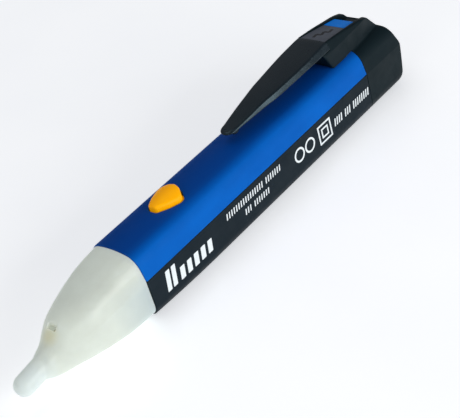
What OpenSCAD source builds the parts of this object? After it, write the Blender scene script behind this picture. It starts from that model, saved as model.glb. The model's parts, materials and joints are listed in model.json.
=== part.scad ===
// Non contact voltage tester: a pocket pen with a translucent sensing nose.
// X runs along the pen with the sensing tip at -X, Z is up, and Y is across.
// The origin is under the middle of the pen, on the flat that it rests on.

/* [Body] */
// Length over everything, from the sensing tip to the end cap
overall_length = 155; // [150:1:165]
// Width across the two flanks, at the parting line
body_width = 18.7; // [18.4:0.1:20]
// Height from the resting flat to the top of the crown
body_height = 21; // [20.8:0.1:22]
// Height of the parting line between the two shells
seam_height = 13; // [12.9:0.1:13.2]
// Thickness of the shell walls
wall = 1.5; // [1.3:0.1:1.7]
// Radius of the long edges
edge_round = 3.2; // [2.8:0.1:3.6]

/* [Nose] */
// Length of the nose from the shells to the sensing tip
nose_length = 39.5; // [39:0.5:42]
// Diameter of the sensing finger
finger_diameter = 5.7; // [5.6:0.1:6.2]
// Downward tilt of the sensing finger, in degrees
finger_tilt = 7; // [6:0.5:7.5]
// Thickness of the nose wall
nose_wall = 1.3; // [1.1:0.1:1.5]

/* [Button] */
// Distance from the nose joint to the point of the button
button_front = 14.7; // [14.5:0.1:15]
// Length of the button
button_length = 10.5; // [10.2:0.1:10.8]
// Half width of the button at its widest
button_half_width = 4.1; // [3.9:0.1:4.3]
// Height of the button's middle above the crown
button_proud = 2; // [1.6:0.1:2.3]
// Gap between the button and its opening
button_gap = 0.4; // [0.3:0.05:0.5]

/* [End cap and clip] */
// Length of the end cap, from its seam to the rear end
cap_length = 18.2; // [17.5:0.1:19]
// Height of the clip's heel above the resting flat
heel_height = 28.8; // [28:0.1:30]
// Half width of the clip at its heel
heel_half_width = 5.8; // [5.5:0.1:6.2]
// Distance from the nose joint to the tip of the clip
clip_tip_at = 46; // [44:0.5:50]
// Distance from the nose joint to the clip's heel
heel_at = 87.5; // [87:0.1:88]

/* [Power] */
// Diameter of each AAA cell
cell_diameter = 10.5; // [10:0.1:10.5]
// Length of each AAA cell with its nub
cell_length = 44.5; // [44:0.1:44.5]
// Distance from the nose joint to the front contact
contact_at = 19.5; // [19.3:0.1:19.8]

/* [Hidden] */
$fn = 48;
joint_x = nose_length - overall_length / 2;
rear_x = overall_length / 2;
cap_x = rear_x - cap_length;
half_width = body_width / 2;
crown_radius = 24;
crown_inner = body_height - wall;
fit_gap = 0.12;
slide_gap = 0.2;
crown_gap = 0.3;
sliver = 0.01;

// Battery line
cell_z = wall + 0.55 + cell_diameter / 2;
can_radius = cell_diameter / 2 - 0.15;
can_wall = 0.3;
sleeve_gap = 0.02;
cradle_gap = 0.05;
nub_length = 1;
contact_thickness = 0.4;
cell_1_x = joint_x + contact_at;
cell_2_x = cell_1_x + cell_length;
cells_end_x = cell_2_x + cell_length;
spring_length = 2.4;
spring_x = cells_end_x;
plate_x = spring_x + spring_length;

// Circuit board
board_z = 13.4;
board_thickness = 1;
board_top = board_z + board_thickness;
board_half_width = 6.8;
board_rear_x = joint_x + 48;
tongue_half_width = 3.2;
tongue_front_x = joint_x - 16;

// Switch under the button
switch_x = joint_x + button_front + 6;
switch_size = 6;
switch_height = 2.8;
plunger_radius = 1.7;
plunger_length = 1.6;
plunger_top = board_top + switch_height + 1;
flange_lip = 0.8;
flange_thickness = 0.5;

// Lamps and antenna in the nose
lamp_radius = 1.5;
torch_x = joint_x - 23.5;
torch_z = 11.9;
alarm_x = joint_x - 16.5;
alarm_z = 4.8;
lead_radius = 0.25;
lead_pitch = 1.27;
finger_end_x = -overall_length / 2 + finger_diameter / 2;
finger_end_z = 7.3;
antenna_radius = 0.9;

// Return strip that carries the battery's far end back to the board
strip_y = -6.3;
strip_thickness = 0.3;
strip_low_z = 5;
strip_high_z = 9;

// End cap and clip
block_front_x = joint_x + heel_at;
clip_tip_x = joint_x + clip_tip_at;
wall_peak_x = rear_x - 7.1;
wall_peak_z = 25.6;
wall_foot_x = rear_x - 2.9;
channel_depth = 0.6;
spigot_length = 6;
spigot_wall = 1;

// Points of an arc about (cx, cy), from angle a0 to a1 in n steps
function arc(cx, cy, r, a0, a1, n) =
  [for (i = [0:n]) let (a = a0 + (a1 - a0) * i / n) [cx + r * cos(a), cy + r * sin(a)]];

// Turns a flat YZ drawing into a solid that starts at x and runs along +X
module along_x(x, length) {
  translate([x, 0, 0]) rotate([90, 0, 90]) linear_extrude(length) children();
}

// Turns a flat XZ drawing into a solid that is centred across the pen
module across_y(width) {
  rotate([90, 0, 0]) translate([0, 0, -width / 2]) linear_extrude(width) children();
}

// Cross-section of the pen, drawn inset from its outer surface.
// It is widest at the parting line and has a shallow crown.
module section(inset = 0) {
  crown_half = asin(8.1 / crown_radius);
  crown = arc(0, body_height - crown_radius, crown_radius, 90 - crown_half, 90 + crown_half, 16);
  offset(r = edge_round - inset)
    offset(delta = -edge_round)
      polygon(concat(
        [[-half_width + 0.2, 0], [half_width - 0.2, 0], [half_width, seam_height]],
        crown,
        [[-half_width, seam_height]]
      ));
}

// Side view of the pen: a resting flat that rises gently at both ends,
// and a rear end that is rounded top and bottom.
module side_view(inset = 0) {
  rise = 1;
  rise_length = 26;
  front_x = joint_x - 1;
  front = [for (i = [0:8]) let (u = i / 8) [joint_x + rise_length * u, rise * pow(1 - u, 2) + inset]];
  rear = concat(
    [[rear_x - 14, inset], [rear_x - 6, 0.25 + inset], [rear_x - 3.4, 0.8 + inset]],
    [[rear_x - 1.7, 2.4 + inset], [rear_x - 0.9 - inset, 5], [rear_x - inset, 13]],
    [[rear_x - 1.2 - inset, 17.2], [wall_foot_x, body_height - inset]]
  );
  polygon(concat([[front_x, rise + inset]], front, rear, [[front_x, body_height - inset]]));
}

// The pen's outer form between two stations, inset from its surface
module body_form(from_x, to_x, inset = 0) {
  intersection() {
    along_x(from_x, to_x - from_x) section(inset);
    across_y(body_width) side_view(inset);
  }
}

module block(x0, x1, y0, y1, z0, z1) {
  translate([x0, y0, z0]) cube([x1 - x0, y1 - y0, z1 - z0]);
}

// ---------------------------------------------------------------- shells

lip_height = 1;
lip_inset = wall / 2;

// The thin lip that stands on the lower shell and enters the upper one
module lip(side_gap, extra_height) {
  intersection() {
    difference() {
      body_form(joint_x, cap_x, lip_inset + side_gap);
      body_form(joint_x - 1, cap_x + 1, wall);
    }
    block(joint_x, cap_x, -half_width, half_width, seam_height - sliver,
          seam_height + lip_height + extra_height);
  }
}

module lower_shell() {
  bulkhead_rear_x = cell_1_x - contact_thickness;
  color("#2b3033") {
    intersection() {
      difference() {
        body_form(joint_x, cap_x);
        body_form(joint_x - 1, cap_x + 1, wall);
      }
      block(joint_x, cap_x, -half_width, half_width, -1, seam_height);
    }
    lip(0.05, 0);
    // ribs across the floor that cradle the cells
    difference() {
      for (x = [joint_x + 27, joint_x + 50, joint_x + 74])
        block(x, x + 1.2, -5.9, 5.9, wall - 0.2, 5);
      translate([joint_x, 0, cell_z]) rotate([0, 90, 0])
        cylinder(r = cell_diameter / 2 + cradle_gap, h = cap_x - joint_x);
    }
    // bulkhead behind the board's front half, which backs the front contact
    difference() {
      block(bulkhead_rear_x - 1.4, bulkhead_rear_x, -5.8, 5.8, wall - 0.2, 11.5);
      block(bulkhead_rear_x - 2, bulkhead_rear_x + 1, -1.6, 1.6, 9, 12);
    }
    // posts under the board
    for (x = [joint_x + 11.4, joint_x + 16.4], y = [-5.6, 5.6])
      translate([x, y, wall - 0.2]) cylinder(d = 1.8, h = board_z - wall + 0.2);
  }
}

// Outline of the button, a rounded triangle that points at the nose, grown by a margin
module button_outline(margin = 0) {
  corner = 1.35;
  front = joint_x + button_front;
  rear = front + button_length;
  widest = button_half_width - corner;
  offset(r = margin) hull() {
    for (side = [-1, 1]) {
      translate([front + corner, side * 0.45]) circle(corner);
      translate([front + corner + 2.9, side * (widest - 0.75)]) circle(corner);
      translate([rear - 3.4, side * widest]) circle(corner);
      translate([rear - 1.9, side * (widest - 0.75)]) circle(corner);
    }
    translate([rear - corner, 0]) circle(corner);
  }
}

module upper_shell() {
  color("#0b5cc4") {
    difference() {
      intersection() {
        difference() {
          body_form(joint_x, cap_x);
          body_form(joint_x - 1, cap_x + 1, wall);
        }
        block(joint_x, cap_x, -half_width, half_width, seam_height, body_height + 1);
      }
      lip(-0.02, 0.1);
      translate([0, 0, crown_inner - 3]) linear_extrude(6) button_outline(button_gap);
    }
    // posts that hold the board down
    for (x = [joint_x + 8, joint_x + 40], y = [-4.6, 4.6])
      translate([x, y, board_top]) cylinder(d = 1.6, h = crown_inner - board_top);
  }
}

// ---------------------------------------------------------------- nose

// One thin slice of the nose: a rounded oval, squarer where power is larger
module nose_slice(x, half, low, high, power) {
  steps = 40;
  points = [for (i = [0:steps - 1]) let (a = 360 * i / steps, c = cos(a), s = sin(a)) [
    half * sign(c) * pow(abs(c), 2 / power),
    (low + high) / 2 + (high - low) / 2 * sign(s) * pow(abs(s), 2 / power)
  ]];
  along_x(x, sliver) polygon(points);
}

// The nose's cone: it narrows along a soft curve, and its top falls faster than
// its underside rises, so the finger sits low
module nose_form(inset = 0) {
  cone = 26.5;
  stations = [0.22, 0.42, 0.6, 0.76, 0.9, 1];
  hull() {
    intersection() {
      along_x(joint_x - sliver, sliver) section(0.25 + inset);
      across_y(body_width) side_view(0.2 + inset);
    }
    for (u = stations) {
      half = 9.1 - 4.8 * pow(u, 3) - inset;
      low = 1.25 + 1.8 * pow(u, 3) + inset;
      high = 20.8 - 5.9 * pow(u, 1.25) - 1.5 * pow(u, 10) - inset;
      nose_slice(joint_x - cone * u, half, low, high, 4.6 - 2.3 * u);
    }
    nose_slice(joint_x - cone - 3 + inset * 0.7, 3.4 - inset, 3.9 + inset, 11.7 - inset, 2.1);
    nose_slice(joint_x - cone - 5 + inset, 2.9 - inset, 4.9 + inset, 10.3 - inset, 2);
  }
}

// A rod along the finger's axis, measured back from the middle of its round end
module finger_rod(radius, from_end, length) {
  translate([finger_end_x, 0, finger_end_z]) rotate([0, 90 - finger_tilt, 0])
    translate([0, 0, from_end]) cylinder(r = radius, h = length);
}

module nose_cone() {
  window = [1.4, 3];
  color("#dfe4dd", 0.75) difference() {
    union() {
      nose_form();
      finger_rod(finger_diameter / 2, 0, 9);
      translate([finger_end_x, 0, finger_end_z]) sphere(finger_diameter / 2);
    }
    nose_form(nose_wall);

    finger_rod(antenna_radius + 0.6, 0, 12);
    translate([torch_x - window[0] / 2, -window[1] / 2, torch_z]) cube([window[0], window[1], 6]);
  }
  // collar that plugs into the shells, and the ring that ties it to the cone
  color("#dfe4dd", 0.75) difference() {
    union() {
      body_form(joint_x - 1, joint_x + 4, wall + fit_gap);
      body_form(joint_x - 1, joint_x, 0.9);
    }
    body_form(joint_x - 1.5, joint_x + 5, wall + fit_gap + 1);
  }
}

// ---------------------------------------------------------------- button and switch

module power_button() {
  flange_top = plunger_top + flange_thickness;
  color("#f5a40c") {
    // a pillow: upright sides, then a soft shoulder up to the crowned top
    intersection() {
      hull() {
        translate([0, 0, plunger_top]) linear_extrude(body_height + 0.4 - plunger_top) button_outline();
        translate([0, 0, body_height]) linear_extrude(button_proud * 0.6) button_outline(-0.35);
        translate([0, 0, body_height]) linear_extrude(button_proud) button_outline(-1);
      }
      rotate([0, 90, 0]) translate([crown_radius - body_height - button_proud, 0, joint_x])
        cylinder(r = crown_radius, h = 40, $fn = 160);
    }
    translate([0, 0, plunger_top]) linear_extrude(flange_top - plunger_top)
      button_outline(flange_lip);
  }
}

module switch_plunger() {
  color("#1c1c1c") translate([switch_x, 0, plunger_top - plunger_length])
    cylinder(r = plunger_radius, h = plunger_length);
}

module switch_dome() {
  dome_z = plunger_top - plunger_length;
  color("#c9ccd0") translate([switch_x, 0, 0]) rotate_extrude()
    polygon([[0, dome_z - 0.15], [1.2, dome_z - 0.2], [2.2, dome_z - 0.6],
             [2.2, dome_z - 0.8], [1.1, dome_z - 0.4], [0, dome_z - 0.35]]);
}

module switch_base() {
  half = switch_size / 2;
  dome_space = 2.4;
  color("#26282a") difference() {
    block(switch_x - half, switch_x + half, -half, half, board_top, board_top + switch_height - 0.4);
    translate([switch_x, 0, plunger_top - plunger_length - 0.8]) cylinder(r = dome_space, h = 4);
  }
  // four bent legs that stand on the board
  color("#b9bcc0") for (sx = [-1, 1], sy = [-1, 1])
    block(switch_x + sx * 2.2 - 0.35, switch_x + sx * 2.2 + 0.35,
          sy > 0 ? half : -half - 0.9, sy > 0 ? half + 0.9 : -half,
          board_top, board_top + 0.3);
}

module switch_cover() {
  half = switch_size / 2;
  z = board_top + switch_height - 0.4;
  color("#c9ccd0") difference() {
    block(switch_x - half, switch_x + half, -half, half, z, z + 0.3);
    translate([switch_x, 0, z - 1]) cylinder(r = plunger_radius + 0.08, h = 3);
  }
}

// ---------------------------------------------------------------- circuit board

module circuit_board() {
  front_x = joint_x + 5;
  step_x = joint_x + 6;
  color("#1d6b3a") difference() {
    union() {
      block(front_x, board_rear_x, -board_half_width, board_half_width, board_z, board_top);
      block(tongue_front_x, step_x, -tongue_half_width, tongue_half_width, board_z, board_top);
    }
    // clearance round the tapered sides of the upper shell's cavity
    for (side = [-1, 1])
      translate([board_rear_x, side * board_half_width, board_z - 1])
        cylinder(r = 1.5, h = 3);
  }
}

module logic_chip() {
  x = joint_x + 31;
  pins = 7;
  pitch = 1.27;
  color("#1b1b1d") block(x - 4.3, x + 4.3, -1.95, 1.95, board_top + 0.15, board_top + 1.5);
  color("#c9ccd0") for (i = [0:pins - 1], side = [-1, 1]) {
    px = x + (i - (pins - 1) / 2) * pitch;
    block(px - 0.2, px + 0.2, side > 0 ? 1.95 : -3, side > 0 ? 3 : -1.95,
          board_top, board_top + 0.45);
  }
}

module transistors() {
  color("#202022") for (x = [joint_x + 11.5, joint_x + 38.5], y = [-2.4, 2.4])
    block(x - 0.7, x + 0.7, y - 1.45, y + 1.45, board_top, board_top + 1);
}

module chip_parts(places, length, width, height) {
  for (p = places)
    block(joint_x + p[0] - length / 2, joint_x + p[0] + length / 2,
          p[1] - width / 2, p[1] + width / 2, board_top, board_top + height);
}

module resistors() {
  color("#2a2a2e")
    chip_parts([for (i = [0:3]) [-2.5 - 3 * i, 1.6], for (i = [0:2]) [27 + 4 * i, 5]], 2, 1.2, 0.5);
}

module capacitors() {
  color("#b08a5a")
    chip_parts([for (i = [0:2]) [-2.5 - 3 * i, -1.6], for (i = [0:2]) [27 + 4 * i, -5]], 2, 1.2, 0.9);
}

module buzzer() {
  height = 4.6;
  color("#1e2022") translate([joint_x + 7, 0, board_z - height - 0.3]) difference() {
    cylinder(d = 11, h = height);
    translate([0, 0, -1]) cylinder(d = 2, h = 2.2);
  }
}

module buzzer_pins() {
  color("#c9ccd0") for (side = [-1, 1])
    translate([joint_x + 7 + side * 2.5, 0, board_z - 0.3]) cylinder(r = 0.3, h = 0.3);
}

// ---------------------------------------------------------------- nose lamps and antenna

// A lamp that points at the tip, with its flange at the rear
module lamp(x, z) {
  translate([x, 0, z]) rotate([0, 90, 0]) {
    sphere(lamp_radius);
    cylinder(r = lamp_radius, h = 3.2);
    translate([0, 0, 3.2]) cylinder(r = lamp_radius + 0.35, h = 0.8);
  }
}

module alarm_led() {
  color("#d4261c", 0.85) lamp(alarm_x, alarm_z);
}

module torch_led() {
  color("#f4f2d8", 0.85) lamp(torch_x, torch_z);
}

module led_leads() {
  alarm_rear = alarm_x + 4;
  torch_rear = torch_x + 4;
  turn_x = joint_x - 8;
  color("#c9ccd0") for (side = [-1, 1]) {
    y = side * lead_pitch;
    translate([alarm_rear, y, alarm_z]) rotate([0, 90, 0])
      cylinder(r = lead_radius, h = turn_x - alarm_rear);
    translate([turn_x, y, alarm_z - lead_radius])
      cylinder(r = lead_radius, h = board_z - alarm_z + lead_radius);
    translate([torch_rear, y, torch_z]) rotate([0, 90, 0])
      cylinder(r = lead_radius, h = 6.5);
    translate([torch_rear + 6.5, y, torch_z - lead_radius])
      cylinder(r = lead_radius, h = board_z - torch_z + lead_radius);
  }
}

// The wire that picks up the field in the finger and runs back to the board
module antenna() {
  back = 22;
  top_x = finger_end_x + back * cos(finger_tilt);
  top_z = finger_end_z + back * sin(finger_tilt);
  color("#c4713a") {
    finger_rod(0.5, 0, back);
    translate([top_x, 0, top_z - 0.4]) cylinder(r = 0.5, h = board_z - top_z + 0.4);
  }
}

module antenna_sleeve() {
  color("#efe9dc") difference() {
    finger_rod(antenna_radius + 0.4, 0, 7);
    finger_rod(0.55, -1, 9);
  }
}

// ---------------------------------------------------------------- power

module front_contact() {
  color("#c9ccd0") {
    block(cell_1_x - contact_thickness, cell_1_x, -3.4, 3.4, 3, 12.2);
    block(cell_1_x - contact_thickness, cell_1_x, -1.4, 1.4, 12.2, board_z);
  }
}

module return_strip() {
  front_x = joint_x + 20;
  color("#c9ccd0") {
    block(front_x, cap_x + 8, strip_y, strip_y + strip_thickness, strip_low_z, strip_high_z);
    block(front_x, front_x + 2.4, strip_y, strip_y + strip_thickness, strip_high_z, board_z);
  }
}

// The hollow steel can of one cell, with its nub towards the nose
module cell_can(x) {
  can_length = cell_length - nub_length;
  translate([x, 0, cell_z]) rotate([0, 90, 0]) {
    cylinder(r = 1.9, h = nub_length);
    translate([0, 0, nub_length]) difference() {
      cylinder(r = can_radius, h = can_length);
      translate([0, 0, can_wall]) cylinder(r = can_radius - can_wall, h = can_length - 2 * can_wall);
    }
  }
}

// The packed powder that fills a can
module cell_core(x) {
  clear = can_wall + 0.05;
  translate([x + nub_length + clear, 0, cell_z]) rotate([0, 90, 0])
    cylinder(r = can_radius - clear, h = cell_length - nub_length - 2 * clear);
}

// The printed sleeve that is shrunk round a can
module cell_sleeve(x) {
  translate([x + nub_length, 0, cell_z]) rotate([0, 90, 0]) translate([0, 0, 0.4])
    difference() {
      cylinder(r = cell_diameter / 2, h = cell_length - nub_length - 0.8);
      translate([0, 0, -1]) cylinder(r = can_radius + sleeve_gap, h = cell_length);
    }
}

module cell_1_can() {
  color("#c9ccd0") cell_can(cell_1_x);
}

module cell_1_core() {
  color("#3b3b3d") cell_core(cell_1_x);
}

module cell_2_core() {
  color("#3b3b3d") cell_core(cell_2_x);
}

module cell_1_sleeve() {
  color("#3a6f4a") cell_sleeve(cell_1_x);
}

module cell_2_can() {
  color("#c9ccd0") cell_can(cell_2_x);
}

module cell_2_sleeve() {
  color("#3a6f4a") cell_sleeve(cell_2_x);
}

// ---------------------------------------------------------------- end cap and clip

// Half width of the clip and its block at a station behind the nose joint
function clip_half(x) = lookup(x - joint_x, [
  [clip_tip_at + 2, 2.3], [60, 4], [70, 5.15], [80, heel_half_width],
  [91, heel_half_width], [100, 5.35], [108.4, 4.6], [113, 4.3]
]);

// Plan view of the clip and its block between two stations, inset from the sides
module clip_plan(x0, x1, inset = 0) {
  steps = 6;
  xs = [for (i = [0:steps]) x0 + (x1 - x0) * i / steps];
  near = [for (x = xs) [x, -clip_half(x) + inset]];
  far = [for (i = [steps:-1:0]) [xs[i], clip_half(xs[i]) - inset]];
  polygon(concat(near, far));
}

// Height of the top of the block, which falls towards the rear
function block_top(x) = heel_height
  - (heel_height - wall_peak_z) * (x - block_front_x) / (wall_peak_x - block_front_x);

module clip_block() {
  foot_z = body_height - 2;
  intersection() {
    translate([0, 0, 0]) linear_extrude(40) clip_plan(block_front_x - 3, wall_foot_x);
    across_y(body_width) polygon([
      [block_front_x, foot_z], [block_front_x, 22], [block_front_x - 2.4, 26.1],
      [block_front_x, 26.1], [block_front_x, heel_height], [wall_peak_x, wall_peak_z],
      [wall_foot_x, body_height], [wall_foot_x, foot_z]
    ]);
  }
}

// The shallow channel along the top of the block that holds the two inlays
module clip_channel() {
  front_x = block_front_x + 0.7;
  floor_rear_x = wall_peak_x - 1;
  intersection() {
    translate([0, 0, 20]) linear_extrude(20) clip_plan(front_x, rear_x, 1.6);
    across_y(body_width) polygon([
      [front_x, block_top(front_x) - channel_depth - 1], [front_x, heel_height + 1],
      [rear_x, heel_height + 1], [rear_x, wall_peak_z - 4.6],
      [floor_rear_x + 2.5, wall_peak_z - 3.4],
      [floor_rear_x, block_top(floor_rear_x) - channel_depth - 1]
    ]);
  }
}

module end_cap() {
  cavity_floor_x = plate_x + contact_thickness;
  color("#24292c") {
    difference() {
      union() {
        body_form(cap_x + fit_gap, rear_x + 1);
        difference() {
          clip_block();
          // a hair of room over the crown of the upper shell
          body_form(joint_x, cap_x + fit_gap, -crown_gap);
        }
      }
      clip_channel();
      body_form(cap_x - 1, cavity_floor_x, wall + slide_gap + spigot_wall);
      translate([cap_x, 0, cell_z]) rotate([0, 90, 0])
        cylinder(r = cell_diameter / 2 + 0.3, h = cavity_floor_x - cap_x);
    }
    // spigot that plugs into the shells
    difference() {
      body_form(cap_x - spigot_length, cap_x + 1, wall + slide_gap);
      body_form(cap_x - spigot_length - 1, cap_x + 2, wall + slide_gap + spigot_wall);
      translate([cap_x - spigot_length - 1, 0, cell_z]) rotate([0, 90, 0])
        cylinder(r = cell_diameter / 2 + 0.3, h = spigot_length + 3);
    }
  }
}

module rear_contact() {
  leg_y = strip_y + strip_thickness + 0.1;
  color("#c9ccd0") {
    block(plate_x, plate_x + contact_thickness, leg_y, 4.4, cell_z - 4, cell_z + 4);
    block(cap_x + 3, plate_x + contact_thickness, leg_y, leg_y + strip_thickness,
          strip_low_z + 0.6, strip_high_z - 0.6);
  }
}

// A short cone of wire that presses on the last cell
module rear_spring() {
  turns = 3;
  steps = 24 * turns;
  sides = 10;
  wire = 0.3;
  tight_radius = 1.4;
  wide_radius = 3.9;
  points = [for (i = [0:steps], j = [0:sides - 1])
    let (u = i / steps, turn = 360 * turns * u, around = 360 * j / sides,
         reach = tight_radius + (wide_radius - tight_radius) * u + wire * cos(around))
    [spring_x + wire + (spring_length - 2 * wire) * u + wire * sin(around),
     reach * cos(turn), cell_z + reach * sin(turn)]];
  walls = [for (i = [0:steps - 1], j = [0:sides - 1])
    let (k = (j + 1) % sides)
    [i * sides + j, i * sides + k, (i + 1) * sides + k, (i + 1) * sides + j]];
  ends = [[for (j = [sides - 1:-1:0]) j], [for (j = [0:sides - 1]) steps * sides + j]];
  color("#c9ccd0") polyhedron(points, concat(walls, ends));
}

module pocket_clip() {
  root_x = block_front_x - 0.08;
  color("#24292c") {
    intersection() {
      translate([0, 0, 10]) linear_extrude(30) union() {
        clip_plan(clip_tip_x + 2, root_x);
        translate([clip_tip_x + 2.3, 0]) circle(r = 2.3);
      }
      across_y(body_width) polygon([
        [clip_tip_x - 1, 23.7], [clip_tip_x + 3, 24.1], [clip_tip_x + 11, 24.9],
        [clip_tip_x + 20, 25.3], [clip_tip_x + 28, 25.9], [root_x - 2.6, 26.25],
        [root_x, 26.25], [root_x, heel_height - 0.02], [joint_x + 80, 28.4],
        [joint_x + 70, 27.55], [joint_x + 60, 26.7], [joint_x + 50, 25.3], [clip_tip_x - 1, 24.6]
      ]);
    }
    // the bead under the tip that grips the cloth
    intersection() {
      translate([clip_tip_x + 3, 0, 24.3]) rotate([90, 0, 0]) translate([0, 0, -1.8])
        cylinder(r = 1.7, h = 3.6);
      block(clip_tip_x, clip_tip_x + 8, -4, 4, 20, 24.4);
    }
  }
}

// An inlay that lies in the channel between two stations
module inlay(x0, x1, clear) {
  floor_z0 = block_top(x0) - channel_depth - 1;
  floor_z1 = block_top(x1) - channel_depth - 1;
  intersection() {
    translate([0, 0, 20]) linear_extrude(20) clip_plan(x0, x1, 1.6 + clear);
    across_y(body_width) polygon([
      [x0, floor_z0], [x1, floor_z1], [x1, floor_z1 + 1], [x0, floor_z0 + 1]
    ]);
  }
}

module clip_panel() {
  color("#565d66") inlay(block_front_x + 0.75, block_front_x + 12, 0.05);
}

module clip_badge() {
  color("#0b5cc4") inlay(block_front_x + 12.1, block_front_x + 17.6, 0.05);
}

lower_shell();
upper_shell();
nose_cone();
power_button();
switch_plunger();
switch_dome();
switch_base();
switch_cover();
circuit_board();
logic_chip();
transistors();
resistors();
capacitors();
buzzer();
buzzer_pins();
alarm_led();
torch_led();
led_leads();
antenna();
antenna_sleeve();
front_contact();
return_strip();
cell_1_can();
cell_1_core();
cell_1_sleeve();
cell_2_can();
cell_2_core();
cell_2_sleeve();
end_cap();
rear_contact();
rear_spring();
pocket_clip();
clip_panel();
clip_badge();
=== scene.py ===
"""Looks for the non contact voltage tester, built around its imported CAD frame.

Shapes are given as distance fields in millimetres: s runs back from the nose joint,
y is across and z is up from the flat that the pen rests on.
"""

import json
import math

import bpy
import numpy as np
from mathutils import Matrix, Vector


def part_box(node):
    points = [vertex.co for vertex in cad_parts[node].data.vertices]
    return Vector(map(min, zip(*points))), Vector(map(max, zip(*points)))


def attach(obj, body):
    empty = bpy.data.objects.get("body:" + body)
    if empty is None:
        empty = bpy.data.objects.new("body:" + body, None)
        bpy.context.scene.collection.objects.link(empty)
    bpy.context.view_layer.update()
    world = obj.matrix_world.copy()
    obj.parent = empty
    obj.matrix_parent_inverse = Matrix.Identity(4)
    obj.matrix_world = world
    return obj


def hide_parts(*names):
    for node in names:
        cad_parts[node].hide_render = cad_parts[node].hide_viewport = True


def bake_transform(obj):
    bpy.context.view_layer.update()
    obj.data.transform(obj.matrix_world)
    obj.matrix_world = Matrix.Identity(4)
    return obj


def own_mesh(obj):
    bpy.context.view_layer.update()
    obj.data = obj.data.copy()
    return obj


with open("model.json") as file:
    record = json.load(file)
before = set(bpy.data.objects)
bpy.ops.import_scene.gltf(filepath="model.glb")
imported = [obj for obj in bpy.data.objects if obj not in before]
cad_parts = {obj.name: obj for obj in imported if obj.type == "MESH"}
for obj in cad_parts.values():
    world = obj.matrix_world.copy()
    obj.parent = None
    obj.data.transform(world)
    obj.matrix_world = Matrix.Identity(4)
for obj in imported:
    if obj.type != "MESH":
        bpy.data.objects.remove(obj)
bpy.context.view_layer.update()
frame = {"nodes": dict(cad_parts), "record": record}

MM = 0.001

# ------------------------------------------------------------------ sizes, in millimetres

# Read from the CAD frame: the ends of the shells, nose and cap, the block's top, and the front of the
# button inside its flange.
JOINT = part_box("lower_shell")[0].x / MM
SEAM_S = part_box("lower_shell")[1].x / MM - JOINT
TIP_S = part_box("nose_cone")[0].x / MM - JOINT
REAR_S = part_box("end_cap")[1].x / MM - JOINT
HEEL_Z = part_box("end_cap")[1].z / MM
BUTTON_FLANGE = 0.8
BUTTON_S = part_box("power_button")[0].x / MM - JOINT + BUTTON_FLANGE

# The pen's section: parting line, half width there, top, the crown's radius and the flanks' draft.
SEAM_Z = 13.0
HALF = 9.33
CROWN = 20.98
CROWN_R = 24.0
FLANK_DRAFT = 0.0154

# Walls and rooms: the shells' wall, where ribs and posts start in the floor, the height of the cells'
# axis, the radius of their room, and the cap's rear wall.
WALL = 1.5
RIB_FOOT = 1.3
CELL_Z = 7.3
CELL_ROOM = 5.55
CAP_FLOOR = 4.2

# Places: underside of the button, its half width, the nose's window, and the clip arm's root.
BUTTON_LOW = 18.2
BUTTON_HALF = 4.1
WINDOW_S = -23.8
ROOT_S = 88.15

# ------------------------------------------------------------------ camera and light


def add_camera():
    """The photograph's view, fitted to the pen's own length and section."""
    right = Vector((0.6148, -0.7488, -0.2474))
    up = Vector((0.5838, 0.2212, 0.7812))
    back = Vector((-0.5303, -0.6247, 0.5731))
    data = bpy.data.cameras.new("camera")
    data.sensor_width = 36.0
    data.lens = 91.65
    data.clip_start = 0.005
    data.clip_end = 20
    cam = bpy.data.objects.new("camera", data)
    bpy.context.scene.collection.objects.link(cam)
    place = Vector((JOINT - 129.2, -199.7, 186.4)) * MM
    turn = Matrix((right, up, back)).transposed().to_4x4()
    cam.matrix_world = Matrix.Translation(place) @ turn
    bpy.context.scene.camera = cam


def add_light(name, at, toward, size, power):
    data = bpy.data.lights.new(name, "AREA")
    data.shape = "RECTANGLE"
    data.size, data.size_y = size
    data.energy = power
    lamp = bpy.data.objects.new(name, data)
    bpy.context.scene.collection.objects.link(lamp)
    lamp.location = at
    aim = Vector(toward) - Vector(at)
    lamp.rotation_euler = aim.to_track_quat("-Z", "Y").to_euler()


def add_studio():
    add_light("key_softbox", (0.05, -0.8, 0.26), (0, 0, 0.012), (0.8, 0.35), 4.3)
    add_light("top_softbox", (-0.1, 0.25, 0.8), (0, 0, 0), (0.7, 0.5), 1.0)
    add_light("nose_fill", (-0.7, -0.15, 0.35), (-0.04, 0, 0.01), (0.4, 0.4), 0.5)
    world = bpy.data.worlds.new("studio")
    bpy.context.scene.world = world
    world.use_nodes = True
    glow = world.node_tree.nodes["Background"]
    glow.inputs["Color"].default_value = (0.93, 0.95, 1.0, 1)
    glow.inputs["Strength"].default_value = 0.26
    bpy.context.scene.view_settings.view_transform = "Standard"


# ------------------------------------------------------------------ materials


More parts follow.
